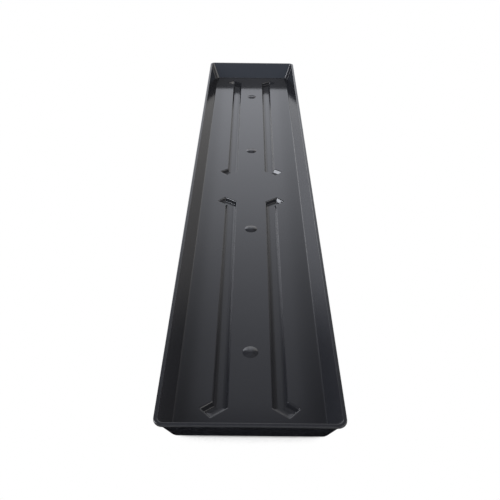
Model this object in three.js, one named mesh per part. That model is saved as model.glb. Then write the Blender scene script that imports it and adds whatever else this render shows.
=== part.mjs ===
// Long plant saucer: a shallow rectangular tray that stands under a balcony planter and catches its water.
// It is one plastic moulding, modelled as its own features: floor, wall, lip, foot runners and gate domes.
// Millimetres, +Z up, long side along Y. The origin is under the middle of the tray, where its feet stand.

import * as THREE from "three";

// Overall size, measured over the lip and down to the feet
const RIM_LENGTH = 772;
const RIM_WIDTH = 144;
const OVERALL_HEIGHT = 30;
const RIM_CORNER_RADIUS = 7.5;

// Wall, which leans outwards, and the lip on top of it
const WALL_LEAN_DEG = 20;
const WALL_THICKNESS = 2.3;
const HEEL_RADIUS = 2.5;
const TOE_RADIUS = 1.5;
const LIP_OVERHANG = 0.7;
const LIP_HEIGHT = 2.2;
const LIP_ROUND = 1;

// Floor, and the low domes over the moulding gates
const FLOOR_THICKNESS = 2.2;
const DOME_COUNT = 4;
const DOME_DIAMETER = 14;
const DOME_HEIGHT = 1.4;
const DOME_RECESS_WALL = 1.8;
const DOME_END_MARGIN = 97;

// Grooves in the floor, which stand out below it as foot runners
const GROOVE_WIDTH = 12.4;
const GROOVE_DRAFT = 1.2;
const GROOVE_END_DRAFT = 2.2;
const GROOVE_SPACING = 48.6;
const GROOVE_END_MARGIN = 26;
const GROOVE_MIDDLE_GAP = 56;
const GROOVE_BEND_DEG = 54;
const GROOVE_BRANCH_LENGTH = 13.2;
const GROOVE_TIP_SKEW = 2;
const RUNNER_DEPTH = 4.5;
const RUNNER_FLANGE = 1.4;

// Fineness of the facets
const CORNER_STEPS = 8;
const FILLET_STEPS = 4;
const DOME_SIDES = 32;
const DOME_STEPS = 4;

// Looks of the plastic
const ANTHRACITE = "#3b3d41";
const PLASTIC_ROUGHNESS = 0.3;

// Heights of the main levels
const FEET_Z = 0;
const GROOVE_FLOOR_Z = FEET_Z + FLOOR_THICKNESS;
const FLOOR_UNDER_Z = FEET_Z + RUNNER_DEPTH;
const FLOOR_TOP_Z = FLOOR_UNDER_Z + FLOOR_THICKNESS;
const RIM_TOP_Z = FEET_Z + OVERALL_HEIGHT;
const LIP_UNDER_Z = RIM_TOP_Z - LIP_HEIGHT;

// Corner radii in plan. The wall keeps them all the way down.
const LIP_WIDTH = LIP_OVERHANG + WALL_THICKNESS;
const OUTER_CORNER = RIM_CORNER_RADIUS - LIP_OVERHANG;
const INNER_CORNER = RIM_CORNER_RADIUS - LIP_WIDTH;

const LEAN = THREE.MathUtils.degToRad(WALL_LEAN_DEG);
const BEND = THREE.MathUtils.degToRad(GROOVE_BEND_DEG);
const QUARTER_TURN = Math.PI / 2;

// How far inwards the wall has leaned at a height, from where it stands at the rim
const leanIn = (z) => (RIM_TOP_Z - z) * Math.tan(LEAN);
const outerInset = (z) => LIP_OVERHANG + leanIn(z);
const innerInset = (z) => LIP_WIDTH + leanIn(z);

// The toe is the fillet between the wall and the floor, and the floor panel starts where it runs out.
const TOE_CENTRE_Z = FLOOR_TOP_Z + TOE_RADIUS;
const FLOOR_EDGE_INSET = innerInset(TOE_CENTRE_Z) + TOE_RADIUS / Math.cos(LEAN);

// Outlines in plan, all anticlockwise

function roundedRectangle(inset, radius) {
  const centreX = RIM_WIDTH / 2 - inset - radius;
  const centreY = RIM_LENGTH / 2 - inset - radius;
  const corners = [[centreX, centreY], [-centreX, centreY], [-centreX, -centreY], [centreX, -centreY]];
  return corners.flatMap(([x, y], turn) =>
    Array.from({ length: CORNER_STEPS + 1 }, (_, step) => {
      const angle = QUARTER_TURN * (turn + step / CORNER_STEPS);
      return new THREE.Vector2(x + radius * Math.cos(angle), y + radius * Math.sin(angle));
    }),
  );
}

function circle(centreY, radius) {
  return Array.from({ length: DOME_SIDES }, (_, side) => {
    const angle = (2 * Math.PI * side) / DOME_SIDES;
    return new THREE.Vector2(radius * Math.cos(angle), centreY + radius * Math.sin(angle));
  });
}

// A groove runs straight along Y, and both its ends bend outwards, away from the tray's middle line. The
// end of a branch is cut at a slant, so it is longer on its outer side. The outline is that of the
// groove's mouth, with its long sides grown by one amount and the branches by another. A long side meets
// the branch where the line along the branch's side has come as far across as the long side.
function grooveOutline(signX, signY, grow, endGrow) {
  const nearEnd = GROOVE_MIDDLE_GAP / 2;
  const farEnd = RIM_LENGTH / 2 - GROOVE_END_MARGIN;
  const middle = (nearEnd + farEnd) / 2;
  const sin = Math.sin(BEND);
  const cos = Math.cos(BEND);
  const half = GROOVE_WIDTH / 2 + grow;
  const halfBranch = GROOVE_WIDTH / 2 + endGrow;
  const meeting = (half - halfBranch * cos) / sin;
  const bend = farEnd - middle - GROOVE_BRANCH_LENGTH * cos - (GROOVE_WIDTH / 2) * sin;
  const innerBranch = GROOVE_BRANCH_LENGTH + endGrow;
  const outerBranch = innerBranch + GROOVE_TIP_SKEW;
  const oneEnd = [
    [half, bend + meeting * cos - halfBranch * sin],
    [outerBranch * sin + halfBranch * cos, bend + outerBranch * cos - halfBranch * sin],
    [innerBranch * sin - halfBranch * cos, bend + innerBranch * cos + halfBranch * sin],
    [-half, bend - meeting * cos + halfBranch * sin],
  ];
  const otherEnd = oneEnd.map(([x, y]) => [x, -y]).reverse();
  const points = [...oneEnd, ...otherEnd].map(
    ([x, y]) => new THREE.Vector2(signX * (GROOVE_SPACING / 2 + x), signY * middle + y),
  );
  return signX > 0 ? points : points.reverse();
}

// Joins loops of plan points, each at its height, into one closed surface. The loops go from under the
// solid up its outside and down its inside. A ring joins its last loop to its first one. Any other solid
// gets a cap that faces down on its first loop and one that faces up on its last.
function stitchLoops(loops, isRing) {
  const count = loops[0].points.length;
  const positions = loops.flatMap(({ points, z }) => points.flatMap((point) => [point.x, point.y, z]));
  const triangles = [];
  const spans = isRing ? loops.length : loops.length - 1;
  for (let span = 0; span < spans; span += 1) {
    const from = span * count;
    const to = ((span + 1) % loops.length) * count;
    for (let i = 0; i < count; i += 1) {
      const next = (i + 1) % count;
      triangles.push(from + i, from + next, to + next, from + i, to + next, to + i);
    }
  }
  if (!isRing) {
    const last = (loops.length - 1) * count;
    for (const [a, b, c] of THREE.ShapeUtils.triangulateShape(loops[0].points, [])) {
      triangles.push(a, c, b);
    }
    for (const [a, b, c] of THREE.ShapeUtils.triangulateShape(loops.at(-1).points, [])) {
      triangles.push(last + a, last + b, last + c);
    }
  }
  const geometry = new THREE.BufferGeometry();
  geometry.setAttribute("position", new THREE.Float32BufferAttribute(positions, 3));
  geometry.setIndex(triangles);
  geometry.computeVertexNormals();
  return geometry;
}

// Sections of the wall and the lip: each point has its inset from the rim's edge, its height and the
// radius that the tray's corners have there.

function sectionArc(centreInset, centreZ, radius, fromAngle, toAngle, corner) {
  return Array.from({ length: FILLET_STEPS + 1 }, (_, step) => {
    const angle = THREE.MathUtils.lerp(fromAngle, toAngle, step / FILLET_STEPS);
    return { inset: centreInset + radius * Math.cos(angle), z: centreZ + radius * Math.sin(angle), corner };
  });
}

function ringFromSection(section) {
  const loops = section.map(({ inset, z, corner }) => ({ points: roundedRectangle(inset, corner), z }));
  return stitchLoops(loops, true);
}

function wallGeometry() {
  const heelZ = FLOOR_UNDER_Z + HEEL_RADIUS;
  const heelInset = outerInset(heelZ) + HEEL_RADIUS / Math.cos(LEAN);
  const facingOut = LEAN - Math.PI;
  return ringFromSection([
    { inset: FLOOR_EDGE_INSET, z: FLOOR_UNDER_Z, corner: INNER_CORNER },
    ...sectionArc(heelInset, heelZ, HEEL_RADIUS, -QUARTER_TURN, facingOut, OUTER_CORNER),
    { inset: outerInset(LIP_UNDER_Z), z: LIP_UNDER_Z, corner: OUTER_CORNER },
    { inset: innerInset(LIP_UNDER_Z), z: LIP_UNDER_Z, corner: INNER_CORNER },
    ...sectionArc(FLOOR_EDGE_INSET, TOE_CENTRE_Z, TOE_RADIUS, facingOut, -QUARTER_TURN, INNER_CORNER),
  ]);
}

function lipGeometry() {
  const roundZ = RIM_TOP_Z - LIP_ROUND;
  const innerRoundInset = innerInset(roundZ) - LIP_ROUND / Math.cos(LEAN);
  return ringFromSection([
    { inset: innerInset(LIP_UNDER_Z), z: LIP_UNDER_Z, corner: INNER_CORNER },
    { inset: 0, z: LIP_UNDER_Z, corner: RIM_CORNER_RADIUS },
    ...sectionArc(LIP_ROUND, roundZ, LIP_ROUND, Math.PI, QUARTER_TURN, RIM_CORNER_RADIUS),
    ...sectionArc(innerRoundInset, roundZ, LIP_ROUND, QUARTER_TURN, LEAN, INNER_CORNER),
  ]);
}

// The floor panel has a cut-out for each runner and each dome, which fill it exactly.
function floorGeometry(runnerPlaces, domePlaces) {
  const panel = new THREE.Shape(roundedRectangle(FLOOR_EDGE_INSET, INNER_CORNER));
  const cutOuts = [
    ...runnerPlaces.map(({ signX, signY }) => grooveOutline(signX, signY, RUNNER_FLANGE, RUNNER_FLANGE)),
    ...domePlaces.map((y) => circle(y, DOME_DIAMETER / 2)),
  ];
  panel.holes = cutOuts.map((outline) => new THREE.Path(outline));
  const geometry = new THREE.ExtrudeGeometry(panel, { depth: FLOOR_THICKNESS, bevelEnabled: false });
  return geometry.translate(0, 0, FLOOR_UNDER_Z);
}

// A runner is a long trough: its foot, its shoulder under the floor, its flange level with the floor's
// top, the groove's mouth and the groove's own floor. Its branches slope more than its long sides.
function runnerGeometry({ signX, signY }) {
  const levels = [
    { flange: RUNNER_FLANGE, draftShare: 1, z: FEET_Z },
    { flange: RUNNER_FLANGE, draftShare: 0, z: FLOOR_UNDER_Z },
    { flange: RUNNER_FLANGE, draftShare: 0, z: FLOOR_TOP_Z },
    { flange: 0, draftShare: 0, z: FLOOR_TOP_Z },
    { flange: 0, draftShare: 1, z: GROOVE_FLOOR_Z },
  ];
  const loops = levels.map(({ flange, draftShare, z }) => {
    const grow = flange - draftShare * GROOVE_DRAFT;
    const endGrow = flange - draftShare * GROOVE_END_DRAFT;
    return { points: grooveOutline(signX, signY, grow, endGrow), z };
  });
  return stitchLoops(loops, false);
}

// A dome is a shallow spherical cap level with the floor at its edge, hollow underneath.
function domeGeometry(centreY) {
  const radius = DOME_DIAMETER / 2;
  const recess = radius - DOME_RECESS_WALL;
  const ball = (radius ** 2 + DOME_HEIGHT ** 2) / (2 * DOME_HEIGHT);
  const cap = Array.from({ length: DOME_STEPS }, (_, step) => {
    const reach = radius * (1 - step / DOME_STEPS);
    return { reach, z: FLOOR_TOP_Z + DOME_HEIGHT - ball + Math.sqrt(ball ** 2 - reach ** 2) };
  });
  const levels = [
    { reach: recess, z: FLOOR_UNDER_Z + DOME_HEIGHT },
    { reach: recess, z: FLOOR_UNDER_Z },
    { reach: radius, z: FLOOR_UNDER_Z },
    ...cap,
  ];
  const loops = levels.map(({ reach, z }) => ({ points: circle(centreY, reach), z }));
  return stitchLoops(loops, false);
}

// Assembly: the front is at -Y and the left at -X

const runnerPlaces = [
  { name: "foot_runner_front_left", signX: -1, signY: -1 },
  { name: "foot_runner_front_right", signX: 1, signY: -1 },
  { name: "foot_runner_back_left", signX: -1, signY: 1 },
  { name: "foot_runner_back_right", signX: 1, signY: 1 },
];
const firstDomeY = DOME_END_MARGIN - RIM_LENGTH / 2;
const domePitch = (-2 * firstDomeY) / (DOME_COUNT - 1);
const domePlaces = Array.from({ length: DOME_COUNT }, (_, index) => firstDomeY + index * domePitch);

function plasticPiece(name, geometry) {
  const plastic = new THREE.MeshStandardMaterial({
    color: ANTHRACITE,
    roughness: PLASTIC_ROUGHNESS,
    metalness: 0,
  });
  const piece = new THREE.Mesh(geometry, plastic);
  piece.name = name;
  return piece;
}

const saucer = new THREE.Group();
saucer.add(plasticPiece("floor_panel", floorGeometry(runnerPlaces, domePlaces)));
saucer.add(plasticPiece("wall", wallGeometry()));
saucer.add(plasticPiece("rim_lip", lipGeometry()));
runnerPlaces.forEach((place) => saucer.add(plasticPiece(place.name, runnerGeometry(place))));
domePlaces.forEach((y, index) => saucer.add(plasticPiece(`gate_dome_${index + 1}`, domeGeometry(y))));

export default saucer;
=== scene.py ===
# %% [markdown]
# # A long saucer for a balcony planter
#
# The real saucer is one moulding in glossy anthracite plastic. Its floor is flat, its four walls lean
# outwards to a rounded lip, four grooves in the floor stand out below as the feet, and four low domes lie
# along the middle. A construction model of the same object is loaded first. It fixes every size and place,
# and the pieces made below take its place one by one, with the small radii, the gloss and the wear that a
# finished object shows.

# %% Load the construction model
import math
import bpy
import numpy as np
from mathutils import Matrix, Vector
from mathutils.geometry import delaunay_2d_cdt


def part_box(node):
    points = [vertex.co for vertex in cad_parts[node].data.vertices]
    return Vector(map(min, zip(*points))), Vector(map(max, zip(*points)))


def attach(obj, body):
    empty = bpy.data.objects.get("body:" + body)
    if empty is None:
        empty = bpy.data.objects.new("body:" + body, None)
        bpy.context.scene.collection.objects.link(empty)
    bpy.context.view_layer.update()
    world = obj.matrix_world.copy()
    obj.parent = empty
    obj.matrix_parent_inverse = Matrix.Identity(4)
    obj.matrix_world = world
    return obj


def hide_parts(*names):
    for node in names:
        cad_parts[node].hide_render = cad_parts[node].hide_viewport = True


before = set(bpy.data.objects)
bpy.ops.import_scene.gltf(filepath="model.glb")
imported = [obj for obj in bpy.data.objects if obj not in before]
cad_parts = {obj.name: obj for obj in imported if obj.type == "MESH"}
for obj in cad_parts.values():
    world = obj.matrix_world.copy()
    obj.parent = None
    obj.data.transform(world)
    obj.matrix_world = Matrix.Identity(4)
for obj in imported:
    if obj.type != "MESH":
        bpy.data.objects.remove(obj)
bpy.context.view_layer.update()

# %% [markdown]
# ## The sizes
#
# Sizes that the construction model shows in its boxes are read from them, so that a change there is
# followed here. A lean, a radius or a wall can't be read from a box, so those few are written here once,
# in metres.

# %% Sizes read from the model
lip_low, lip_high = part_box("rim_lip")
panel_low, panel_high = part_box("floor_panel")
HALF_WIDTH = lip_high.x
HALF_LENGTH = lip_high.y
RIM_TOP = lip_high.z
LIP_UNDERSIDE = lip_low.z
FLOOR_TOP = panel_high.z
FLOOR_UNDERSIDE = panel_low.z
FLOOR_EDGE_INSET = HALF_WIDTH - panel_high.x
print(f"rim {2 * HALF_WIDTH:.4f} by {2 * HALF_LENGTH:.4f} m, floor at {FLOOR_TOP:.4f} m")

# %% Sizes that a box can't show
WALL_LEAN = math.radians(20)
WALL_THICKNESS = 0.0023
LIP_OVERHANG = 0.0007
LIP_ROUND = 0.0007
LIP_UNDER_ROUND = 0.0004
TOE_ROUND = 0.0012
HEEL_ROUND = 0.0025
RIM_CORNER = 0.0075
INNER_CORNER = 0.0045
OUTER_CORNER = RIM_CORNER - LIP_OVERHANG
print(f"walls {WALL_THICKNESS:.4f} m thick lean {math.degrees(WALL_LEAN):.0f} degrees")

# %% [markdown]
# ## From arrays to meshes
#
# Every piece is worked out as whole arrays of points. A bmesh could be grown face by face instead, but a
# formula over an array is shorter, and the same few lines then serve a ring, a trough and a dome.
# The enclosed volume tells which way the faces point: it is a sum over triangles, and comes out negative
# when they point inwards. Edges that turn more than 35 degrees stay sharp, so that a flat next to a corner
# stays flat.

# %% Mesh helpers
SHARP_ANGLE = math.radians(35)
CM3_PER_M3 = 1e6


def enclosed_volume(points, faces):
    """A third of the sum of corner times fan cross product, halved: each face adds a cone to the origin."""
    total = 0.0
    for size in {len(face) for face in faces}:
        corners = points[np.array([face for face in faces if len(face) == size])]
        fans = np.cross(corners[:, 1:-1] - corners[:, :1], corners[:, 2:] - corners[:, :1])
        total += np.einsum("fk,fnk->", corners[:, 0], fans) / 6
    return total


def moulded_piece(name, points, faces):
    """Puts points and faces into a new mesh object, turned so that its faces point outwards."""
    if enclosed_volume(points, faces) < 0:
        faces = [face[::-1] for face in faces]
    mesh = bpy.data.meshes.new(name)
    mesh.from_pydata(points.tolist(), [], faces)
    mesh.polygons.foreach_set("use_smooth", np.ones(len(mesh.polygons), dtype=bool))
    mesh.set_sharp_from_angle(angle=SHARP_ANGLE)
    mesh.validate()
    piece = bpy.data.objects.new(name, mesh)
    bpy.context.scene.collection.objects.link(piece)
    volume = enclosed_volume(points, faces) * CM3_PER_M3
    print(f"{name}: {len(points)} points, {len(faces)} faces, {volume:.2f} cm3")
    return piece


def ring_faces(rows, columns, close_rows):
    """Quads of a grid whose columns close on themselves, and whose rows do too if close_rows is true."""
    grid = np.arange(rows * columns).reshape(rows, columns)
    upper = np.roll(grid, -1, axis=0)
    quads = np.stack([grid, np.roll(grid, -1, 1), np.roll(upper, -1, 1), upper], axis=-1)
    if not close_rows:
        quads = quads[:-1]
    return quads.reshape(-1, 4).tolist()


print("the faces of a band of two rows by three columns:", ring_faces(2, 3, False))

# %% [markdown]
# ## Profiles with rounded corners
#
# The wall, the lip, the grooves and the domes all begin as a section: a few straight lines whose corners
# are rounded. A bevel modifier could round the finished mesh, but its width would fight with the thin
# walls. Rounding the section first keeps every radius exact. A section is written in complex numbers,
# across + i height, because a turn is then one multiplication. Two holding points near the ends of each
# straight stretch keep the shading of the round from leaking over the flat.

# %% Section helpers
ARC_STEPS = 7
HOLD = 0.00022
HOLD_ROOM = 5 * HOLD


def unit(step):
    """A complex step divided by its length."""
    return step / np.abs(step)


def rounded_corner(before, corner, after, radius):
    """The arc that rounds one corner: it starts a tangent length, radius times tan(turn / 2), before the
    corner, and turns about a centre that stands square to the incoming side, one radius away."""
    if radius == 0:
        return np.array([corner])
    along = unit(corner - before)
    turn = np.angle(unit(after - corner) / along)
    start = corner - along * radius * np.tan(abs(turn) / 2)
    centre = start + 1j * along * radius * np.sign(turn)
    return centre + (start - centre) * np.exp(1j * turn * np.linspace(0, 1, ARC_STEPS + 1))


def held(path, closed):
    """The path with holding points a short way in from both ends of every stretch that is long enough."""
    ends = np.roll(path, -1)
    steps = ends - path
    lengths = np.abs(steps)
    if not closed:
        lengths[-1] = 0
    room = lengths > HOLD_ROOM
    shift = HOLD * steps / np.where(room, lengths, 1)
    rows = np.stack([path, path + shift, ends - shift], axis=1)
    keep = np.stack([np.ones(len(path), bool), room, room], axis=1)
    return rows[keep]


def section(corners, radii, closed=False):
    """A line through the corners, each rounded by its radius, with holding points on the straight parts."""
    corners = np.array(corners)
    arcs = [
        rounded_corner(corners[k - 1], corners[k], corners[(k + 1) % len(corners)], radius)
        for k, radius in enumerate(radii)
    ]
    return held(np.concatenate(arcs), closed)


heel_sample = section([0j, 1j * HEEL_ROUND, (1 + 1j) * HEEL_ROUND], [0, HEEL_ROUND / 2, 0])
print("one rounded corner between two straight stretches:", len(heel_sample), "section points")

# %% [markdown]
# ## The way round the rim
#
# The wall and the lip are sections carried round a rectangle with round corners. At each station the way
# has a corner sign, which slides from one corner to the next along a side, and a normal, which turns a
# quarter circle in each corner. A point of the section, with an inset from the rim and a corner radius of
# its own, then lands at sign times (half size less inset less radius) plus radius times normal. A few
# lines of numpy make the whole ring.

# %% Stations and rings
CORNER_STEPS = 18
LONG_SIDE_STEPS = 32
SHORT_SIDE_STEPS = 6


def rim_stations():
    """Corner signs and normals, complex numbers, anticlockwise from where the +X side meets the corner at
    +X and +Y. Each corner turns its normal a quarter circle, and then a side slides to the next corner."""
    signs, normals = [], []
    corners = [1 + 1j, -1 + 1j, -1 - 1j, 1 - 1j]
    for k, corner in enumerate(corners):
        angles = (k + np.linspace(0, 1, CORNER_STEPS + 1)) * np.pi / 2
        steps = LONG_SIDE_STEPS if k % 2 else SHORT_SIDE_STEPS
        share = np.arange(1, steps) / steps
        following = corners[(k + 1) % 4]
        signs += [np.full(len(angles), corner), corner + (following - corner) * share]
        normals += [np.exp(1j * angles), np.full(len(share), np.exp(1j * angles[-1]))]
    return np.concatenate(signs), np.concatenate(normals)


def carried_round(inset, radius, height):
    """Points of a section carried round the rim, as an array of section points by stations by xyz."""
    signs, normals = rim_stations()
    inset, radius, height = (np.asarray(values)[:, None] for values in (inset, radius, height))
    x = signs.real * (HALF_WIDTH - inset - radius) + normals.real * radius
    y = signs.imag * (HALF_LENGTH - inset - radius) + normals.imag * radius
    return np.stack([x, y, np.broadcast_to(height, x.shape)], axis=-1)


print("stations round the rim:", len(rim_stations()[0]))

# %% [markdown]
# ## The wall
#
# The wall is one band round the basin. Inside, it flows into the floor through a small round called the
# toe, and outside it turns under through the heel. A box with its top cut out and its sides tapered would
# come close, but a section carried round keeps the thickness even. The band ends on a flat strip in the
# plane of the floor, so that the seam to the floor plate lies on a flat, where nothing shows it.

# %% Make the wall


def outer_inset(height):
    """Inset of the outer wall face: it grows with the depth below the rim, by the tangent of the lean."""
    return LIP_OVERHANG + (RIM_TOP - height) * math.tan(WALL_LEAN)


def inner_inset(height):
    """Inset of the inner wall face, one wall thickness further in."""
    return outer_inset(height) + WALL_THICKNESS


inner_run = section(
    [
        FLOOR_EDGE_INSET + 1j * FLOOR_TOP,
        inner_inset(FLOOR_TOP) + 1j * FLOOR_TOP,
        inner_inset(LIP_UNDERSIDE) + 1j * LIP_UNDERSIDE,
    ],
    [0, TOE_ROUND, 0],
)
outer_run = section(
    [
        outer_inset(LIP_UNDERSIDE) + 1j * LIP_UNDERSIDE,
        outer_inset(FLOOR_UNDERSIDE) + 1j * FLOOR_UNDERSIDE,
        FLOOR_EDGE_INSET + 1j * FLOOR_UNDERSIDE,
    ],
    [0, HEEL_ROUND, 0],
)
wall_section = np.concatenate([inner_run, outer_run])
wall_radius = np.repeat([INNER_CORNER, OUTER_CORNER], [len(inner_run), len(outer_run)])
wall_radius[-1] = INNER_CORNER  # the last point lies on the edge of the floor plate
wall_grid = carried_round(wall_section.real, wall_radius, wall_section.imag)
wall = moulded_piece("wall_band", wall_grid.reshape(-1, 3), ring_faces(*wall_grid.shape[:2], True))

# %% [markdown]
# ## The lip
#
# The lip is the rounded edge that a hand meets. It stands out a little over the wall, which stiffens the
# rim. It could be a curve with a bevel, but its section isn't round, so it is carried round like the wall.
# Its corner radius shrinks with the inset, so that its rounds keep the same section all the way round a
# corner.

# %% Make the lip
lip_section = section(
    [
        inner_inset(LIP_UNDERSIDE) + 1j * LIP_UNDERSIDE,
        inner_inset(RIM_TOP) + 1j * RIM_TOP,
        0 + 1j * RIM_TOP,
        0 + 1j * LIP_UNDERSIDE,
    ],
    [0, LIP_ROUND, LIP_ROUND, LIP_UNDER_ROUND],
    closed=True,
)
lip_radius = np.maximum(RIM_CORNER - lip_section.real, INNER_CORNER)
lip_grid = carried_round(lip_section.real, lip_radius, lip_section.imag)
lip = moulded_piece("rim_lip_bead", lip_grid.reshape(-1, 3), ring_faces(*lip_grid.shape[:2], True))

# %% [markdown]
# ## The outline of a groove
#
# Each groove is straight, with both ends bent outwards like a hockey stick. Its outline has eight corners:
# four at one end and their mirror image at the other. Every level of the groove, from its mouth to its bed,
# is the same outline moved in or out with its sides kept parallel, so one function gives them all and their
# points pair up. The branches move further than the long sides, because they slope more.

# %% Groove outline
GROOVE_CENTRE = 0.0243
GROOVE_HALF_WIDTH = 0.0062
GROOVE_HALF_LENGTH = 0.1660
GROOVE_BEND = math.radians(54)
GROOVE_BRANCH = 0.0132
GROOVE_TIP_SKEW = 0.0020
GROOVE_CORNER = 0.0009


def groove_corners(grow, end_grow):
    """The eight corners of a right-hand groove, across + i along, from its own middle, for arrays of
    levels. Its long sides are moved out by grow, and the branches by end_grow. A long side meets a branch
    where the line along the branch, half its width to the side, has come as far across as the long side."""
    half = GROOVE_HALF_WIDTH + grow
    half_branch = GROOVE_HALF_WIDTH + end_grow
    branch = GROOVE_BRANCH + end_grow
    sine, cosine = math.sin(GROOVE_BEND), math.cos(GROOVE_BEND)
    direction = sine + 1j * cosine
    square = (cosine - 1j * sine) * half_branch
    bend = 1j * (GROOVE_HALF_LENGTH - GROOVE_BRANCH * cosine - GROOVE_HALF_WIDTH * sine)
    meeting = (half - half_branch * cosine) / sine
    end = bend + np.stack([
        meeting * direction + square,
        (branch + GROOVE_TIP_SKEW) * direction + square,
        branch * direction - square,
        -meeting * direction - square,
    ], axis=-1)
    return np.concatenate([end, np.conj(end[:, ::-1])], axis=-1)


def grown_outline(grow, end_grow):
    """Groove outlines as levels by points, complex numbers: each corner is rounded by an arc whose radius
    keeps step with the groove's width. The arc starts a tangent length before its corner and turns about a
    centre that stands square to the incoming side."""
    grow, end_grow = np.asarray(grow), np.asarray(end_grow)
    corners = groove_corners(grow, end_grow)
    along = unit(corners - np.roll(corners, 1, axis=1))
    turn = np.angle(np.roll(along, -1, axis=1) / along)
    radius = GROOVE_CORNER * (1 + grow[:, None] / GROOVE_HALF_WIDTH)
    start = corners - along * radius * np.tan(np.abs(turn) / 2)
    centre = start + 1j * along * radius * np.sign(turn)
    swing = np.exp(1j * turn[..., None] * np.linspace(0, 1, ARC_STEPS + 1))
    arcs = centre[..., None] + (start - centre)[..., None] * swing
    return arcs.reshape(len(corners), -1)


mouth = grown_outline([0.0], [0.0])
print(f"groove outline: {mouth.shape[1]} points, tip {mouth.imag.max():.4f} m from its middle")

# %% [markdown]
# ## The section of a runner
#
# Seen from above a runner is a groove, and from below it is a foot. Its section starts in the middle of the
# bed, which is dished a little, climbs the steep side, turns over a small round at the mouth and ends on a
# flat flange in the floor. It comes back below the floor, down the outside of the foot and in under it.
# Pressing a groove into the floor with a sculpted dent would leave its wall uneven, so both faces are drawn.

# %% Runner section
GROOVE_DRAFT = 0.0012
GROOVE_END_DRAFT = 0.0022
RUNNER_FLANGE = 0.0014
MOUTH_ROUND = 0.0010
BED_ROUND = 0.0005
FOOT_ROUND = 0.0008
BED_REACH = 0.0048
BED_TURN = 0.0036
BED_RISE = 0.00045
DISH_ROUND = 0.0125
GROOVE_BED = FLOOR_TOP - FLOOR_UNDERSIDE  # one floor thickness above the sole
GROOVE_DEPTH = FLOOR_TOP - GROOVE_BED
runner_low, runner_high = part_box("foot_runner_back_right")

inside_run = section(
    [
        -BED_REACH + 1j * GROOVE_BED,
        -BED_TURN + 1j * GROOVE_BED,
        -GROOVE_DRAFT + 1j * (GROOVE_BED + BED_RISE),
        0 + 1j * FLOOR_TOP,
        RUNNER_FLANGE + 1j * FLOOR_TOP,
    ],
    [0, DISH_ROUND, BED_ROUND, MOUTH_ROUND, 0],
)
outside_run = section(
    [
        RUNNER_FLANGE + 1j * FLOOR_UNDERSIDE,
        RUNNER_FLANGE - GROOVE_DRAFT + 1j * runner_low.z,
        -BED_REACH + 1j * runner_low.z,
    ],
    [0, FOOT_ROUND, 0],
)
runner_section = np.concatenate([inside_run, outside_run])
depths = np.concatenate([FLOOR_TOP - inside_run.imag, FLOOR_UNDERSIDE - outside_run.imag])
end_reach = runner_section.real - (GROOVE_END_DRAFT - GROOVE_DRAFT) * depths / GROOVE_DEPTH
print(f"runner section: {len(runner_section)} points, groove {GROOVE_DEPTH:.4f} m deep")

# %% [markdown]
# ## The four foot runners
#
# A runner is the groove's outline stacked level upon level, one for each point of the section. An extruded
# outline would have upright sides, and here every level has its own reach. The left runners mirror the
# right ones, and the front ones the back ones.

# %% Make the runners
RUNNER_MIDDLE = (runner_low.y + runner_high.y) / 2
RUNNER_PLACES = {
    f"foot_runner_{end}_{hand}": (side, along * RUNNER_MIDDLE)
    for end, along in (("front", -1), ("back", 1))
    for hand, side in (("left", -1), ("right", 1))
}


def runner_outlines(grow, end_grow, side, middle):
    """Groove outlines set in the tray: moved to the groove's centre line, mirrored for the left side."""
    outline = grown_outline(grow, end_grow)
    return side * (GROOVE_CENTRE + outline.real) + 1j * (middle + outline.imag)


def make_runner(name, side, middle):
    """A trough of stacked outlines, one for each point of the section, closed by its bed and by its sole."""
    outlines = runner_outlines(runner_section.real, end_reach, side, middle)
    levels, count = outlines.shape
    height = np.broadcast_to(runner_section.imag[:, None], outlines.shape)
    points = np.stack([outlines.real, outlines.imag, height], axis=-1).reshape(-1, 3)
    bed = list(range(count))[::-1]
    sole = list(range((levels - 1) * count, levels * count))
    return moulded_piece(name, points, ring_faces(levels, count, False) + [bed, sole])


runners = {node: make_runner(node + "_trough", *place) for node, place in RUNNER_PLACES.items()}

# %% [markdown]
# ## The section of a dome
#
# A low dome covers each point where the plastic was injected. A squashed sphere would look much the same
# from above, but a dome is a shallow cap with its own small recess below, and in it the little nub that the
# injection leaves. So the section runs from the top to the rim and back underneath.

# %% Dome section
CAP_STEPS = 12
DOME_FLANGE = 0.0006
RECESS_RADIUS = 0.0052
RECESS_DEPTH = 0.0014
RECESS_DRAFT = 0.0002
RECESS_ROUND = 0.0004
NUB_RADIUS = 0.0010
NUB_HEIGHT = 0.0004
NUB_ROUND = 0.0002
dome_low, dome_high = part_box("gate_dome_1")
DOME_RADIUS = (dome_high.x - dome_low.x) / 2
DOME_HEIGHT = dome_high.z - FLOOR_TOP
DOME_SEAM = DOME_RADIUS + DOME_FLANGE


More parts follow.
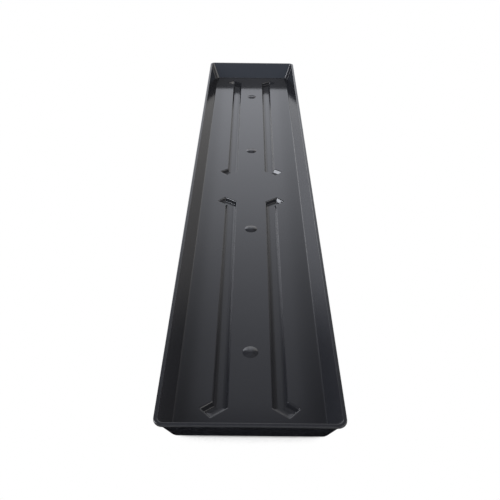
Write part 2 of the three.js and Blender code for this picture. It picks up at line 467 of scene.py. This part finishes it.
def dome_section():
    """Radius + i height: a cap of the sphere whose radius is (r squared + h squared) / 2h, then a flat
    flange, the seam, and the recess below with its nub."""
    sphere = (DOME_RADIUS**2 + DOME_HEIGHT**2) / (2 * DOME_HEIGHT)
    angles = np.linspace(0, math.asin(DOME_RADIUS / sphere), CAP_STEPS + 1)
    cap = sphere * np.sin(angles) + 1j * (FLOOR_TOP + DOME_HEIGHT - sphere * (1 - np.cos(angles)))
    flange = np.array([DOME_RADIUS + HOLD, DOME_SEAM]) + 1j * FLOOR_TOP
    ceiling = FLOOR_UNDERSIDE + RECESS_DEPTH
    below = section(
        [
            DOME_SEAM + 1j * FLOOR_UNDERSIDE,
            RECESS_RADIUS + 1j * FLOOR_UNDERSIDE,
            RECESS_RADIUS - RECESS_DRAFT + 1j * ceiling,
            NUB_RADIUS + RECESS_DRAFT + 1j * ceiling,
            NUB_RADIUS + 1j * (ceiling - NUB_HEIGHT),
            0 + 1j * (ceiling - NUB_HEIGHT),
        ],
        [0, RECESS_ROUND, RECESS_ROUND, NUB_ROUND, NUB_ROUND, 0],
    )
    return np.concatenate([cap, flange, below])


print(f"dome section: {len(dome_section())} points, {DOME_HEIGHT:.4f} m high, {2 * DOME_RADIUS:.4f} m wide")

# %% [markdown]
# ## The four domes
#
# Each dome is its section turned about an upright axis, as on a lathe. A Screw modifier can do that too,
# but turning is one multiplication by a row of unit numbers, and the two ends on the axis stay single
# points.

# %% Make the domes
DOME_SIDES = 72
CIRCLE = np.exp(2j * np.pi * np.arange(DOME_SIDES) / DOME_SIDES)
DOME_NODES = [f"gate_dome_{k}" for k in range(1, 5)]


def make_dome(name, middle):
    """The section turned about the upright axis through the middle: rings of points, closed by two fans."""
    line = dome_section()
    around = line.real[1:-1, None] * CIRCLE
    height = np.broadcast_to(line.imag[1:-1, None], around.shape)
    rings = np.stack([middle.x + around.real, middle.y + around.imag, height], axis=-1)
    poles = np.array([[middle.x, middle.y, line[0].imag], [middle.x, middle.y, line[-1].imag]])
    points = np.concatenate([rings.reshape(-1, 3), poles])
    first = np.arange(DOME_SIDES)
    following = np.roll(first, -1)
    top, bottom = len(points) - 2, len(points) - 1
    last_ring = top - DOME_SIDES
    top_fan = np.stack([np.full(DOME_SIDES, top), following, first], axis=-1)
    bottom_fan = np.stack([np.full(DOME_SIDES, bottom), last_ring + first, last_ring + following], axis=-1)
    fans = np.concatenate([top_fan, bottom_fan]).tolist()
    return moulded_piece(name, points, ring_faces(len(line) - 2, DOME_SIDES, False) + fans)


def box_middle(node):
    """The middle of a node's box."""
    low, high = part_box(node)
    return (low + high) / 2


domes = {node: make_dome(node + "_cap", box_middle(node)) for node in DOME_NODES}

# %% [markdown]
# ## The floor plate
#
# What is left of the floor is a flat plate with openings for the runners and the domes. A boolean could cut
# them, but the openings then would not share their neighbours' points. Instead the outlines themselves are
# joined by triangles that respect them, and the triangles inside an opening are left out.

# %% Outlines of the floor plate
runner_edge = [RUNNER_FLANGE]
plate_edge = carried_round([FLOOR_EDGE_INSET], [INNER_CORNER], [FLOOR_TOP])[0]
plate_outlines = [plate_edge[:, 0] + 1j * plate_edge[:, 1]]
plate_outlines += [runner_outlines(runner_edge, runner_edge, *place)[0] for place in RUNNER_PLACES.values()]
dome_middles = [box_middle(node) for node in DOME_NODES]
plate_outlines += [middle.x + 1j * middle.y + DOME_SEAM * CIRCLE for middle in dome_middles]
print("floor plate:", len(plate_outlines) - 1, "openings,", sum(map(len, plate_outlines)), "outline points")

# %% Make the floor plate
INSIDE_WITHOUT_HOLES = 2
MERGE_DISTANCE = 1e-7


def anticlockwise(outline):
    """The outline in the order in which its area, half the sum of its cross products, is positive."""
    area = np.sum(np.imag(np.conj(outline) * np.roll(outline, -1))) / 2
    return outline if area > 0 else outline[::-1]


def plate_with_openings(outlines, top, bottom):
    """A flat plate: triangles between the outlines at the top, the same ones turned over at the bottom, and
    a band of quads down every outline. The first outline is the edge, and the others are openings."""
    flat = np.concatenate([anticlockwise(outline) for outline in outlines])
    count = len(flat)
    rings = np.split(np.arange(count), np.cumsum([len(outline) for outline in outlines[:-1]]))
    upper = np.stack([flat.real, flat.imag, np.full(count, top)], axis=-1)
    lower = upper * [1, 1, 0] + [0, 0, bottom]
    loops = [ring.tolist() for ring in rings]
    joined = delaunay_2d_cdt(upper[:, :2].tolist(), [], loops, INSIDE_WITHOUT_HOLES, MERGE_DISTANCE)
    triangles = np.array(joined[2])
    faces = triangles.tolist() + (count + triangles[:, ::-1]).tolist()
    for ring in [rings[0]] + [opening[::-1] for opening in rings[1:]]:
        following = np.roll(ring, -1)
        faces += np.stack([following, ring, count + ring, count + following], axis=-1).tolist()
    return np.concatenate([upper, lower]), faces


plate_mesh = plate_with_openings(plate_outlines, FLOOR_TOP, FLOOR_UNDERSIDE)
floor_plate = moulded_piece("floor_plate", *plate_mesh)

# %% [markdown]
# ## Nodes from code
#
# A finish is a graph of nodes. It could be wired by hand in the shader editor, but wired in code it can be
# read, repeated and changed. A few short functions do it. One makes a group with named sockets, and one
# feeds a socket, which means that it sets a number or links another socket. The rest make single nodes.

# %% Node helpers
FLOAT, VECTOR = "NodeSocketFloat", "NodeSocketVector"


def new_group(name, inputs, outputs):
    """A shader node group with the named float or vector sockets, and its input and output nodes."""
    group = bpy.data.node_groups.new(name, "ShaderNodeTree")
    for socket, kind in inputs:
        group.interface.new_socket(socket, in_out="INPUT", socket_type=kind)
    for socket, kind in outputs:
        group.interface.new_socket(socket, in_out="OUTPUT", socket_type=kind)
    return group, group.nodes.new("NodeGroupInput"), group.nodes.new("NodeGroupOutput")


def feed(tree, sockets, values):
    """Gives each socket its value: a number or colour is set on it, and another socket is linked to it."""
    for socket, value in zip(sockets, values):
        if isinstance(value, (int, float, tuple)):
            socket.default_value = value
        else:
            tree.links.new(value, socket)


def noise(tree, coordinates, scale, detail):
    """A noise texture of the given scale, in cells per metre, around one half."""
    node = tree.nodes.new("ShaderNodeTexNoise")
    node.inputs["Scale"].default_value = scale
    node.inputs["Detail"].default_value = detail
    tree.links.new(coordinates, node.inputs["Vector"])
    return node.outputs["Fac"]


def math_node(tree, operation, *values):
    """One math node over numbers or sockets."""
    node = tree.nodes.new("ShaderNodeMath")
    node.operation = operation
    feed(tree, node.inputs, values)
    return node.outputs[0]


def smooth_step(tree, value, start, stop, low=0.0, high=1.0):
    """A smooth change from low to high as the value goes from start to stop."""
    node = tree.nodes.new("ShaderNodeMapRange")
    node.interpolation_type = "SMOOTHSTEP"
    names = ("Value", "From Min", "From Max", "To Min", "To Max")
    feed(tree, [node.inputs[name] for name in names], (value, start, stop, low, high))
    return node.outputs["Result"]


node_helpers = (new_group, feed, noise, math_node, smooth_step)
print("node helpers:", ", ".join(helper.__name__ for helper in node_helpers))

# %% [markdown]
# ## The skin of the moulding
#
# Glossy moulded plastic is never a perfect mirror. Very fine orange peel and long shallow waves bend what
# it reflects, the gloss changes a little from place to place, and so does the depth of the grey. A photo of
# plastic could be wrapped round the piece, but noise has no seams. These effects are needed by more than
# one finish, so they are a node group that reads Object coordinates, in metres.

# %% Skin group
PEEL_CELLS = 700.0
PEEL_DETAIL = 2.0
PEEL_DEPTH = 2.0e-6
WAVE_CELLS = 22.0
WAVE_DETAIL = 1.0
WAVE_DEPTH = 3.0e-5
CLOUD_CELLS = 9.0
CLOUD_DETAIL = 4.0
NOISE_MIDDLE = 0.5

skin, skin_in, skin_out = new_group(
    "moulding_skin",
    [("Coordinates", VECTOR), ("Gloss", FLOAT), ("Gloss Change", FLOAT), ("Tone Change", FLOAT)],
    [("Height", FLOAT), ("Roughness", FLOAT), ("Tone", FLOAT)],
)
where = skin_in.outputs["Coordinates"]
peel = math_node(skin, "MULTIPLY", noise(skin, where, PEEL_CELLS, PEEL_DETAIL), PEEL_DEPTH)
waves = noise(skin, where, WAVE_CELLS, WAVE_DETAIL)
skin_height = math_node(skin, "MULTIPLY_ADD", waves, WAVE_DEPTH, peel)
cloud = math_node(skin, "SUBTRACT", noise(skin, where, CLOUD_CELLS, CLOUD_DETAIL), NOISE_MIDDLE)
rough = math_node(skin, "MULTIPLY_ADD", cloud, skin_in.outputs["Gloss Change"], skin_in.outputs["Gloss"])
tone = math_node(skin, "MULTIPLY_ADD", cloud, skin_in.outputs["Tone Change"], 1.0)
skin.links.new(skin_height, skin_out.inputs["Height"])
skin.links.new(rough, skin_out.inputs["Roughness"])
skin.links.new(tone, skin_out.inputs["Tone"])
print("skin group:", len(skin.nodes), "nodes")

# %% [markdown]
# ## Rub marks
#
# The soles slide over stone and the lip is stacked against others, so both carry fine hairlines that are
# paler and less glossy than the skin around them. They could be painted by hand, but here they are noise
# stretched along the saucer, cut off so that only its ridges stay, and kept to a range of heights: each
# finish says where it is still clean and where it is fully worn.

# %% Rub group
HAIRLINE_STRETCH = (1.0, 0.04, 1.0)
HAIRLINE_SKEW = math.radians(9)
HAIRLINE_CELLS = 1400.0
HAIRLINE_DETAIL = 2.0
HAIRLINE_RIDGE = (0.56, 0.68)

rub, rub_in, rub_out = new_group(
    "rub_marks",
    [("Coordinates", VECTOR), ("Clean Height", FLOAT), ("Worn Height", FLOAT)],
    [("Mask", FLOAT)],
)


def hairlines(skew):
    """Fine lines along the saucer, turned by a skew: the ridges of a noise that is stretched lengthways."""
    stretched = rub.nodes.new("ShaderNodeMapping")
    stretched.inputs["Rotation"].default_value[2] = skew
    stretched.inputs["Scale"].default_value = HAIRLINE_STRETCH
    rub.links.new(rub_in.outputs["Coordinates"], stretched.inputs["Vector"])
    lines = noise(rub, stretched.outputs["Vector"], HAIRLINE_CELLS, HAIRLINE_DETAIL)
    return smooth_step(rub, lines, *HAIRLINE_RIDGE)


apart = rub.nodes.new("ShaderNodeSeparateXYZ")
rub.links.new(rub_in.outputs["Coordinates"], apart.inputs[0])
worn = smooth_step(rub, apart.outputs["Z"], rub_in.outputs["Clean Height"], rub_in.outputs["Worn Height"])
crossed = math_node(rub, "MAXIMUM", hairlines(HAIRLINE_SKEW), hairlines(-HAIRLINE_SKEW))
rub.links.new(math_node(rub, "MULTIPLY", worn, crossed), rub_out.inputs["Mask"])
print("rub group:", len(rub.nodes), "nodes")

# %% [markdown]
# ## The plastic
#
# The plastic itself is nearly black. What makes it look grey is the light that its gloss throws back, so a
# lighter colour would look chalky: the base colour stays dark and the Principled shader does the rest. One
# function mixes three finishes from it. The basin is polished, the lip is polished and lightly rubbed on
# top, and the underside came from a duller half of the mould and is worn on its soles. A rub is what a
# hairline adds to the roughness and to the tone.

# %% Plastic material
ANTHRACITE = (0.0225, 0.0230, 0.0262)
PLASTIC_IOR = 1.49
POLISHED = 0.11
DULL = 0.26
GLOSS_CHANGE = 0.05
TONE_CHANGE = 0.25
SOLE_WEAR = (0.0010, 0.0001)
LIP_WEAR = (RIM_TOP - 0.0005, RIM_TOP)
BASIN_RUB = (0.0, 0.0)
LIP_RUB = (0.05, 0.15)
SOLE_RUB = (0.25, 2.5)


def placed_group(tree, group, coordinates, **values):
    """A node that uses the group in a tree, with the named inputs set."""
    node = tree.nodes.new("ShaderNodeGroup")
    node.node_tree = group
    tree.links.new(coordinates, node.inputs["Coordinates"])
    for name, value in values.items():
        node.inputs[name.replace("_", " ").title()].default_value = value
    return node.outputs


def plastic(name, gloss, wear, rubbed):
    """Anthracite plastic with the moulding skin on it. Rub marks add to its roughness and to its tone."""
    material = bpy.data.materials.new(name)
    material.use_nodes = True
    tree = material.node_tree
    shader = tree.nodes["Principled BSDF"]
    shader.inputs["IOR"].default_value = PLASTIC_IOR
    place = tree.nodes.new("ShaderNodeTexCoord").outputs["Object"]
    layer = placed_group(tree, skin, place, gloss=gloss, gloss_change=GLOSS_CHANGE, tone_change=TONE_CHANGE)
    marks = placed_group(tree, rub, place, clean_height=wear[0], worn_height=wear[1])["Mask"]
    dullness = math_node(tree, "MULTIPLY_ADD", marks, rubbed[0], layer["Roughness"])
    paleness = math_node(tree, "MULTIPLY_ADD", marks, rubbed[1], layer["Tone"])
    tint = tree.nodes.new("ShaderNodeVectorMath")
    tint.operation = "SCALE"
    tint.inputs[0].default_value = ANTHRACITE
    tree.links.new(paleness, tint.inputs["Scale"])
    tree.links.new(tint.outputs[0], shader.inputs["Base Color"])
    tree.links.new(dullness, shader.inputs["Roughness"])
    bump = tree.nodes.new("ShaderNodeBump")
    bump.inputs["Distance"].default_value = 1.0  # the heights of the skin are in metres already
    tree.links.new(layer["Height"], bump.inputs["Height"])
    tree.links.new(bump.outputs["Normal"], shader.inputs["Normal"])
    print(f"{name}: {len(tree.nodes)} nodes")
    return material


basin_plastic = plastic("basin_plastic", POLISHED, SOLE_WEAR, BASIN_RUB)
lip_plastic = plastic("lip_plastic", POLISHED, LIP_WEAR, LIP_RUB)
underside_plastic = plastic("underside_plastic", DULL, SOLE_WEAR, SOLE_RUB)

# %% [markdown]
# ## Dressing the pieces
#
# Each piece gets its upper finish in its first material slot and the underside's in the second. The faces
# could be picked by hand, but which finish a face shows follows from its normal: a face that looks down more
# steeply than the leaning walls do is underside.

# %% Dress the pieces
DOWNWARDS = -0.5
stand_ins = {"wall": wall, "rim_lip": lip, "floor_panel": floor_plate, **runners, **domes}
for node, piece in stand_ins.items():
    mesh = piece.data
    mesh.materials.append(lip_plastic if piece is lip else basin_plastic)
    mesh.materials.append(underside_plastic)
    normals = np.empty(3 * len(mesh.polygons), dtype=np.float32)
    mesh.polygons.foreach_get("normal", normals)
    under = normals[2::3] < DOWNWARDS
    mesh.polygons.foreach_set("material_index", under.astype(np.int32))
    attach(piece, "root")
    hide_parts(node)
    print(f"{piece.name}: {under.sum()} of {len(under)} faces look down")

# %% [markdown]
# ## The studio floor
#
# The saucer stands on white paper, a large disc just below its feet. A plain square would do as well, but a
# disc ends equally far away on every side.

# %% Floor mesh
PAPER_REACH = 12.0
PAPER_SIDES = 96
PAPER_DROP = 0.0003

paper_edge = PAPER_REACH * np.exp(2j * np.pi * np.arange(PAPER_SIDES) / PAPER_SIDES)
paper_points = np.stack([paper_edge.real, paper_edge.imag, np.full(PAPER_SIDES, -PAPER_DROP)], axis=-1)
paper_mesh = bpy.data.meshes.new("studio_floor")
paper_mesh.from_pydata(paper_points.tolist(), [], [tuple(range(PAPER_SIDES))])
studio_floor = bpy.data.objects.new("studio_floor", paper_mesh)
bpy.context.scene.collection.objects.link(studio_floor)
print("studio floor:", 2 * PAPER_REACH, "m across")

# %% [markdown]
# ## White paper with a shadow
#
# A plain white plane would turn grey in soft light, so what the camera, a reflection or a see-through piece
# meets there is white by itself. Ambient occlusion, which asks how much of the sky a point can see, keeps
# the object's shadow in it: a thin one for the camera, and for reflections the deep one that the dark glossy
# sides pick up close to the paper. For all other light the paper is plain and matt.

# %% Floor material
CAMERA_SHADE_REACH = 0.09
CAMERA_SHADE = (0.14, 0.34)
MIRROR_SHADE_REACH = 0.30
MIRROR_SHADE = (0.80, 1.00)
MATT_PAPER = (0.5, 0.5, 0.5, 1.0)


def shaded(tree, distance, limits):
    """White that fades to black as the share of the sky that shows, as far as the distance, goes down."""
    shade = tree.nodes.new("ShaderNodeAmbientOcclusion")
    shade.inputs["Distance"].default_value = distance
    return smooth_step(tree, shade.outputs["AO"], *limits)


paper = bpy.data.materials.new("white_paper")
paper.use_nodes = True
paper_tree = paper.node_tree
paper_tree.nodes.clear()
path = paper_tree.nodes.new("ShaderNodeLightPath").outputs
for_camera = shaded(paper_tree, CAMERA_SHADE_REACH, CAMERA_SHADE)
for_mirror = shaded(paper_tree, MIRROR_SHADE_REACH, MIRROR_SHADE)
lighter = math_node(paper_tree, "SUBTRACT", for_camera, for_mirror)
whiteness = math_node(paper_tree, "MULTIPLY_ADD", lighter, path["Is Camera Ray"], for_mirror)
glow = paper_tree.nodes.new("ShaderNodeEmission")
paper_tree.links.new(whiteness, glow.inputs["Color"])
matt = paper_tree.nodes.new("ShaderNodeBsdfDiffuse")
matt.inputs["Color"].default_value = MATT_PAPER
seen = math_node(paper_tree, "MAXIMUM", path["Is Camera Ray"], path["Is Glossy Ray"])
seen = math_node(paper_tree, "MAXIMUM", seen, path["Is Transmission Ray"])
mix = paper_tree.nodes.new("ShaderNodeMixShader")
paper_tree.links.new(seen, mix.inputs["Fac"])
paper_tree.links.new(matt.outputs[0], mix.inputs[1])
paper_tree.links.new(glow.outputs[0], mix.inputs[2])
target = paper_tree.nodes.new("ShaderNodeOutputMaterial")
paper_tree.links.new(mix.outputs[0], target.inputs["Surface"])
paper_mesh.materials.append(paper)
print("paper material:", len(paper_tree.nodes), "nodes")

# %% [markdown]
# ## The light dome
#
# Gloss shows what stands around it, so the light is built from what the saucer mirrors. A picture of a room
# would do it, but a few smooth steps over the direction of view are enough. A direction has three parts:
# sideways, away from the camera, and upwards. The slant, sideways over away, is the same at every height
# in one compass direction, so it suits edges that run upright.

# %% Directions of the dome
LEAST_AHEAD = 0.05

world = bpy.data.worlds.new("soft_dome")
bpy.context.scene.world = world
world.use_nodes = True
light_dome = world.node_tree
background = light_dome.nodes["Background"]
direction = light_dome.nodes.new("ShaderNodeSeparateXYZ")
towards = light_dome.nodes.new("ShaderNodeTexCoord").outputs["Generated"]
light_dome.links.new(towards, direction.inputs[0])
sideways, ahead_of, upwards = direction.outputs
far_enough = math_node(light_dome, "MAXIMUM", ahead_of, LEAST_AHEAD)
slant = math_node(light_dome, "DIVIDE", sideways, far_enough)
print("light dome:", world.name)

# %% [markdown]
# ## How bright the dome is
#
# A pale sky stands low behind the saucer and is mirrored by its floor. It is wide near the ground, where
# the side walls look, and narrow higher up, so that the sides of the grooves stay dark, and it is brighter
# on the left. A small patch in front lights the far wall, a faint light overhead meets the near side of the
# domes, and a white horizon runs all round, as in a pale room.

# %% Brightness of the dome
FILL = 0.08
SKY_LEVEL = 1.12
SKY_HEIGHT = (0.82, 0.43)
SKY_BEHIND = (0.0, 0.3)
NARROWING = (0.345, 0.60)
SKY_REACH = (1.05, 0.52)
SKY_EDGE = 0.40
LEFT_SIDE = (-0.12, -0.32)
LEFT_LEVEL = 1.7
FAR_LEFT_SIDE = (-0.36, -0.52)
FAR_LEFT_LEVEL = 1.4
PATCH_LEVEL = 0.65
PATCH_AHEAD = (-0.70, -0.88)
PATCH_HEIGHT = (0.60, 0.40)
HORIZON_HEIGHT = (0.30, 0.20)
OVERHEAD_HEIGHT = (0.80, 0.92)
OVERHEAD_LEVEL = 0.22


def product(tree, first, *others):
    """All the sockets multiplied together."""
    for other in others:
        first = math_node(tree, "MULTIPLY", first, other)
    return first


reach = smooth_step(light_dome, upwards, *NARROWING, *SKY_REACH)
beyond = math_node(light_dome, "SUBTRACT", math_node(light_dome, "ABSOLUTE", slant), reach)
sky = product(
    light_dome,
    smooth_step(light_dome, upwards, *SKY_HEIGHT, 0.0, SKY_LEVEL),
    smooth_step(light_dome, ahead_of, *SKY_BEHIND),
    smooth_step(light_dome, beyond, 0.0, -SKY_EDGE),
    smooth_step(light_dome, slant, *LEFT_SIDE, 1.0, LEFT_LEVEL),
    smooth_step(light_dome, slant, *FAR_LEFT_SIDE, 1.0, FAR_LEFT_LEVEL),
)
patch = product(
    light_dome,
    smooth_step(light_dome, ahead_of, *PATCH_AHEAD),
    smooth_step(light_dome, upwards, *PATCH_HEIGHT, 0.0, PATCH_LEVEL),
)
overhead = smooth_step(light_dome, upwards, *OVERHEAD_HEIGHT, FILL, OVERHEAD_LEVEL)
dome_light = math_node(light_dome, "ADD", math_node(light_dome, "ADD", sky, patch), overhead)
horizon = smooth_step(light_dome, upwards, *HORIZON_HEIGHT)
brighter = math_node(light_dome, "MAXIMUM", dome_light, horizon)
light_dome.links.new(brighter, background.inputs["Strength"])
print("light dome with its brightness:", len(light_dome.nodes), "nodes")

# %% [markdown]
# ## The tint of the light
#
# Daylight is a little blue. The right side of the room is more neutral, which shows in the left wall, and
# the patch in front is cooler, which shows in the far wall. Tinting the plastic instead would stay with it
# in any other light. The horizon is plain white, because it is also the background of the other views.

# %% Tint of the dome
DAYLIGHT = (0.96, 0.985, 1.06, 1.0)
ROOM_LIGHT = (0.985, 0.965, 0.945, 1.0)
ROOM_SIDE = (0.08, 0.35)
COOL_LIGHT = (0.82, 0.97, 1.24, 1.0)
COOL_AHEAD = (-0.3, -0.7)
WHITE = (1.0, 1.0, 1.0, 1.0)


def tinted(tree, share, first, second):
    """A colour that goes from the first to the second as the share goes from 0 to 1."""
    node = tree.nodes.new("ShaderNodeMix")
    node.data_type = "RGBA"
    tree.links.new(share, node.inputs["Factor"])
    sockets = [socket for socket in node.inputs if socket.type == "RGBA"]
    feed(tree, sockets, (first, second))
    return next(socket for socket in node.outputs if socket.type == "RGBA")


room_tint = tinted(light_dome, smooth_step(light_dome, slant, *ROOM_SIDE), DAYLIGHT, ROOM_LIGHT)
sky_tint = tinted(light_dome, smooth_step(light_dome, ahead_of, *COOL_AHEAD), room_tint, COOL_LIGHT)
light_dome.links.new(tinted(light_dome, horizon, sky_tint, WHITE), background.inputs["Color"])
print("light dome with its tint:", len(light_dome.nodes), "nodes")

# %% [markdown]
# ## The lamps
#
# Soft lamps finish the light. A long strip high up behind lays the band of sheen along the middle of the
# floor. A bright upright strip on the left whitens the few faces that look at it. A wide box high on the
# right lights the plastic itself, above what the groove ends on the left would mirror. A small one above
# the front is mirrored by the far wall onto the floor before it. Each lamp is given by its brightness,
# because that is what a mirror shows, and the power follows: brightness times pi times its area.

# %% Lamps
SAUCER_MIDDLE = (0.0, 0.0, 0.0)
BEHIND_SAUCER = (0.0, 2.0, 0.0)
LAMPS = {
    "strip_lamp": {
        "place": (0.0, 2.0, 1.2),
        "aim": BEHIND_SAUCER,
        "size": (0.37, 2.8),
        "brightness": 0.25,
        "colour": DAYLIGHT,
    },
    "left_strip": {
        "place": (-1.00, -0.22, 0.64),
        "aim": SAUCER_MIDDLE,
        "size": (0.36, 0.95),
        "brightness": 11.0,
        "colour": DAYLIGHT,
    },
    "right_softbox": {
        "place": (1.15, -0.25, 0.98),
        "aim": SAUCER_MIDDLE,
        "size": (2.0, 0.9),
        "brightness": 2.6,
        "colour": ROOM_LIGHT,
    },
    "front_softbox": {
        "place": (0.0, -0.75, 2.0),
        "aim": SAUCER_MIDDLE,
        "size": (0.8, 0.4),
        "brightness": 2.8,
        "colour": DAYLIGHT,
    },
}


def soft_lamp(name, place, aim, size, brightness, colour):
    """An area lamp whose -Z axis runs from its place to its aim, with the power of its brightness."""
    data = bpy.data.lights.new(name, "AREA")
    data.shape = "RECTANGLE"
    data.size, data.size_y = size
    data.energy = brightness * math.pi * size[0] * size[1]
    data.color = colour[:3]
    lamp = bpy.data.objects.new(name, data)
    lamp.location = place
    lamp.rotation_mode = "QUATERNION"
    lamp.rotation_quaternion = (Vector(aim) - Vector(place)).to_track_quat("-Z", "Y")
    bpy.context.scene.collection.objects.link(lamp)
    print(f"{name}: {data.energy:.1f} W")


for name, settings in LAMPS.items():
    soft_lamp(name, **settings)

# %% [markdown]
# ## The camera
#
# The camera stands in front of the near end and looks down along the saucer. It could be aimed at a target,
# but its place, three angles and lens were found together, by laying the known corners of the model over the
# picture. So its axes are worked out from the angles: the view ahead, and the two sides of the picture,
# rolled a little about it.

# %% Camera
CAMERA_PLACE = (-0.0028, -0.6658, 0.3964)
CAMERA_PITCH = math.radians(36.389)
CAMERA_YAW = math.radians(0.203)
CAMERA_ROLL = math.radians(0.739)
CAMERA_LENS = 43.585
SENSOR_WIDTH = 36.0

ahead = Vector((
    math.sin(CAMERA_YAW) * math.cos(CAMERA_PITCH),
    math.cos(CAMERA_YAW) * math.cos(CAMERA_PITCH),
    -math.sin(CAMERA_PITCH),
))
level_right = Vector((math.cos(CAMERA_YAW), -math.sin(CAMERA_YAW), 0.0))
level_up = level_right.cross(ahead)
right = math.cos(CAMERA_ROLL) * level_right + math.sin(CAMERA_ROLL) * level_up
up = -math.sin(CAMERA_ROLL) * level_right + math.cos(CAMERA_ROLL) * level_up
camera_data = bpy.data.cameras.new("camera")
camera_data.lens = CAMERA_LENS
camera_data.sensor_width = SENSOR_WIDTH
camera = bpy.data.objects.new("camera", camera_data)
turned = Matrix((right, up, -ahead)).transposed().to_4x4()
camera.matrix_world = Matrix.Translation(CAMERA_PLACE) @ turned
bpy.context.scene.collection.objects.link(camera)
bpy.context.scene.camera = camera
bpy.context.scene.view_settings.view_transform = "Standard"
print("camera at", CAMERA_PLACE, "with a lens of", CAMERA_LENS, "mm")
